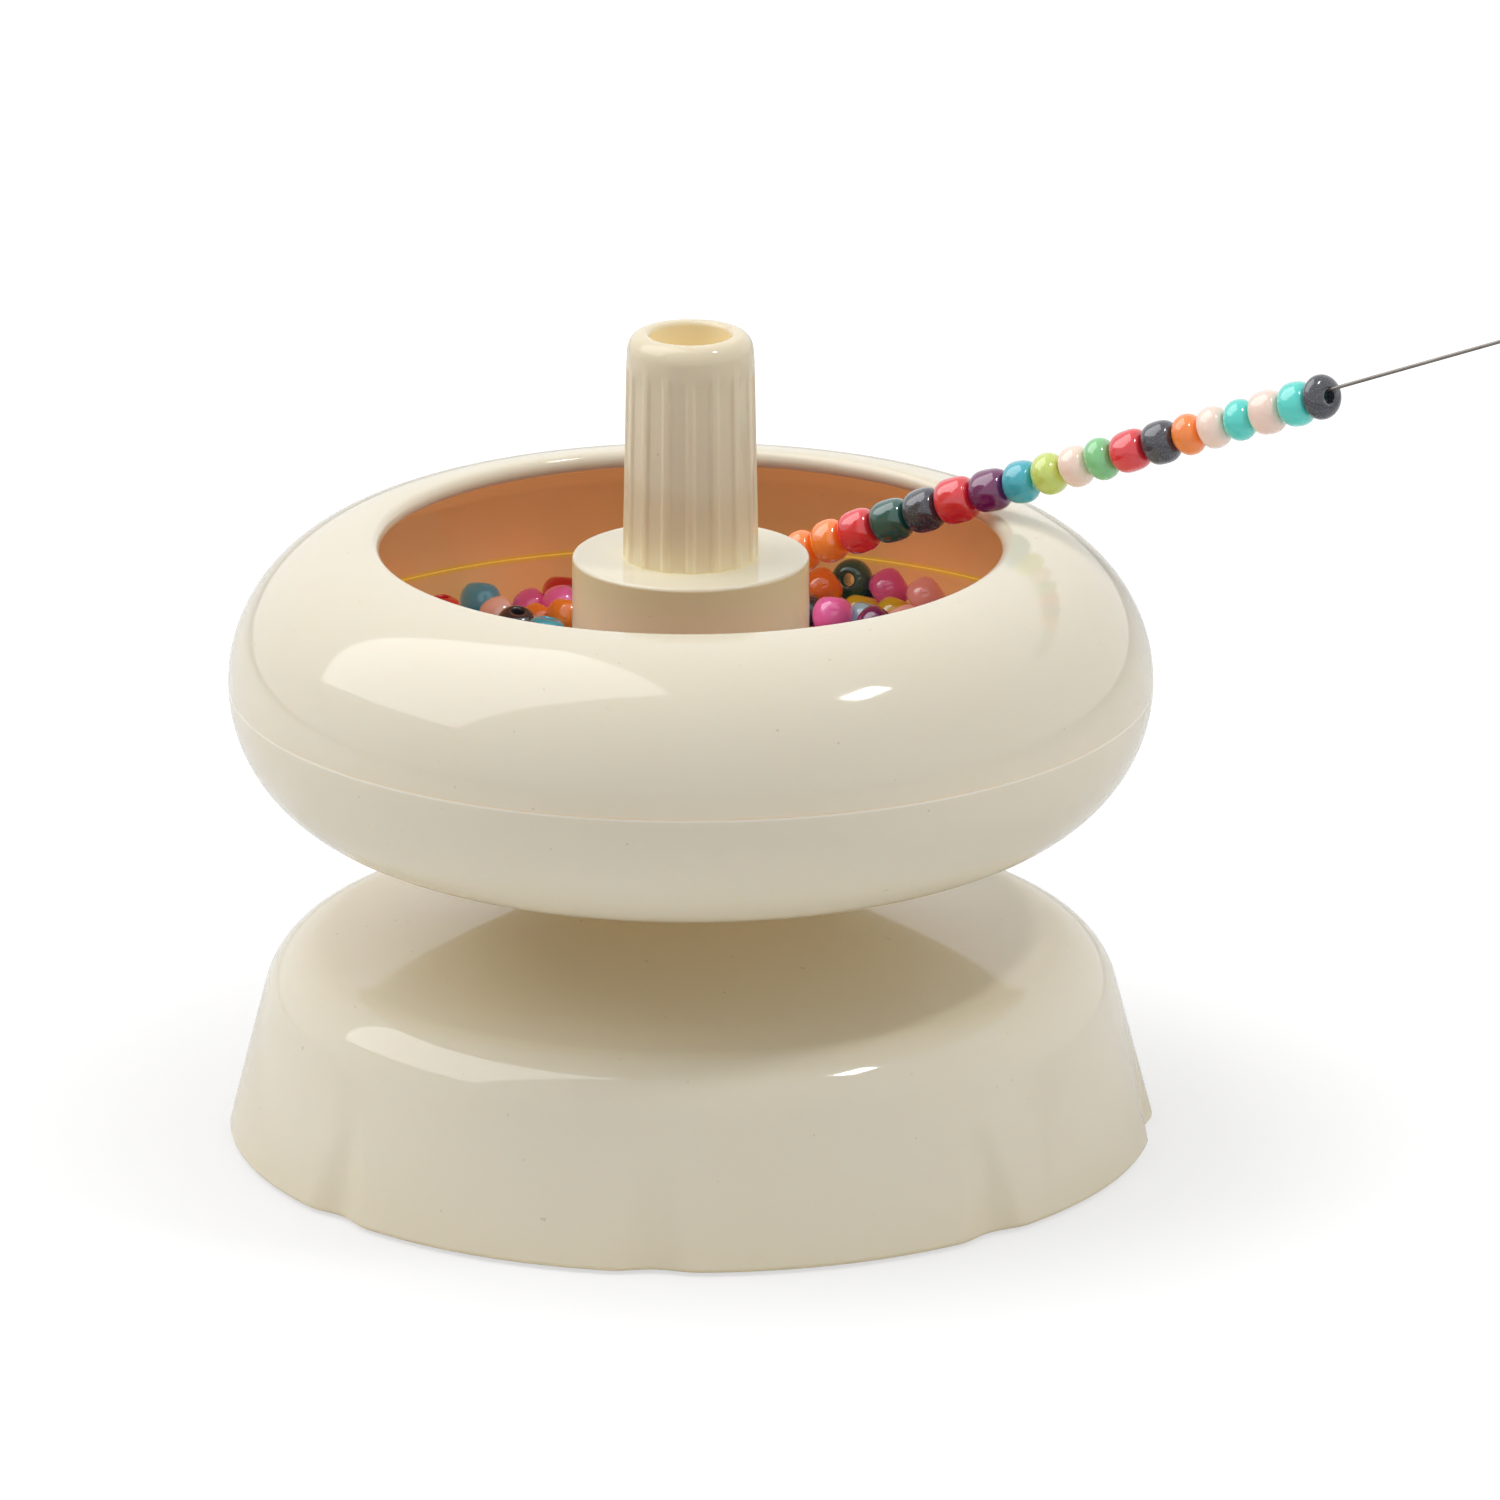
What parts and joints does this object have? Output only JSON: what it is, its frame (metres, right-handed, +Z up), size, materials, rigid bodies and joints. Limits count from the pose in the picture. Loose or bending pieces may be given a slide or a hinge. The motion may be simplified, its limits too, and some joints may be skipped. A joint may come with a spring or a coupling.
{
  "type": "bead spinner",
  "caption": "Hand-turned bead spinner: a round bowl of loose beads on a scalloped base, with a ribbed finger knob and a curved loading needle carrying a strand.",
  "frame": {"origin": "on the spindle's axis, in the plane of the foot pads' undersides", "axes": "+Z up along the spindle, -Y towards the front that the picture shows, +X to the right, where the needle leaves the bowl"},
  "size_m": [0.1293, 0.0846, 0.0849],
  "materials": {
    "cream_plastic": "glossy moulded plastic",
    "pad_rubber": "matt",
    "spindle_steel": "turned",
    "washer_nylon": "satin",
    "clip_steel": "dark spring steel",
    "bush_plastic": "satin",
    "mixed_beads": "mixed glass beads",
    "bead_orange": "opaque glossy glass",
    "bead_red": "opaque glossy glass",
    "bead_green": "opaque glossy glass",
    "bead_black": "opaque glossy glass",
    "bead_purple": "opaque glossy glass",
    "bead_teal": "opaque glossy glass",
    "bead_rose": "opaque glossy glass",
    "bead_pink": "opaque glossy glass",
    "bead_yellow": "opaque glossy glass",
    "bead_sky": "opaque glossy glass",
    "bead_lime": "opaque glossy glass",
    "bead_leaf": "opaque glossy glass",
    "bead_turquoise": "opaque glossy glass",
    "needle_wire": "drawn wire"
  },
  "bodies": {
    "base": {"base_shell": "cream_plastic", "foot_pads": "pad_rubber", "spindle": "spindle_steel", "thrust_washer": "washer_nylon", "clip_washer": "spindle_steel", "spindle_clip": "clip_steel"},
    "bowl": {"bowl_lower": "cream_plastic", "bowl_upper": "cream_plastic", "hub_collar": "cream_plastic", "knob": "cream_plastic", "lower_bush": "bush_plastic", "upper_bush": "bush_plastic", "bead_fill": "mixed_beads", "loose_beads_orange": "bead_orange", "loose_beads_red": "bead_red", "loose_beads_green": "bead_green", "loose_beads_black": "bead_black", "loose_beads_purple": "bead_purple", "loose_beads_teal": "bead_teal", "loose_beads_rose": "bead_rose", "loose_beads_pink": "bead_pink", "loose_beads_yellow": "bead_yellow", "loose_beads_sky": "bead_sky"},
    "needle": {"beading_needle": "needle_wire", "strung_beads_orange": "bead_orange", "strung_beads_red": "bead_red", "strung_bead_green": "bead_green", "strung_beads_black": "bead_black", "strung_bead_purple": "bead_purple", "strung_bead_teal": "bead_teal", "strung_bead_lime": "bead_lime", "strung_beads_pink": "bead_pink", "strung_bead_leaf": "bead_leaf", "strung_beads_turquoise": "bead_turquoise"}
  },
  "joints": [
    {"name": "bowl_spin", "type": "hinge", "parent": "base", "child": "bowl", "pos_m": [0, 0, 0.042], "axis": [0, 0, 1], "continuous": true},
    {"name": "needle_lift", "type": "slide", "parent": "base", "child": "needle", "axis": [0, 0, 1], "range_m": [0, 0.08]}
  ]
}
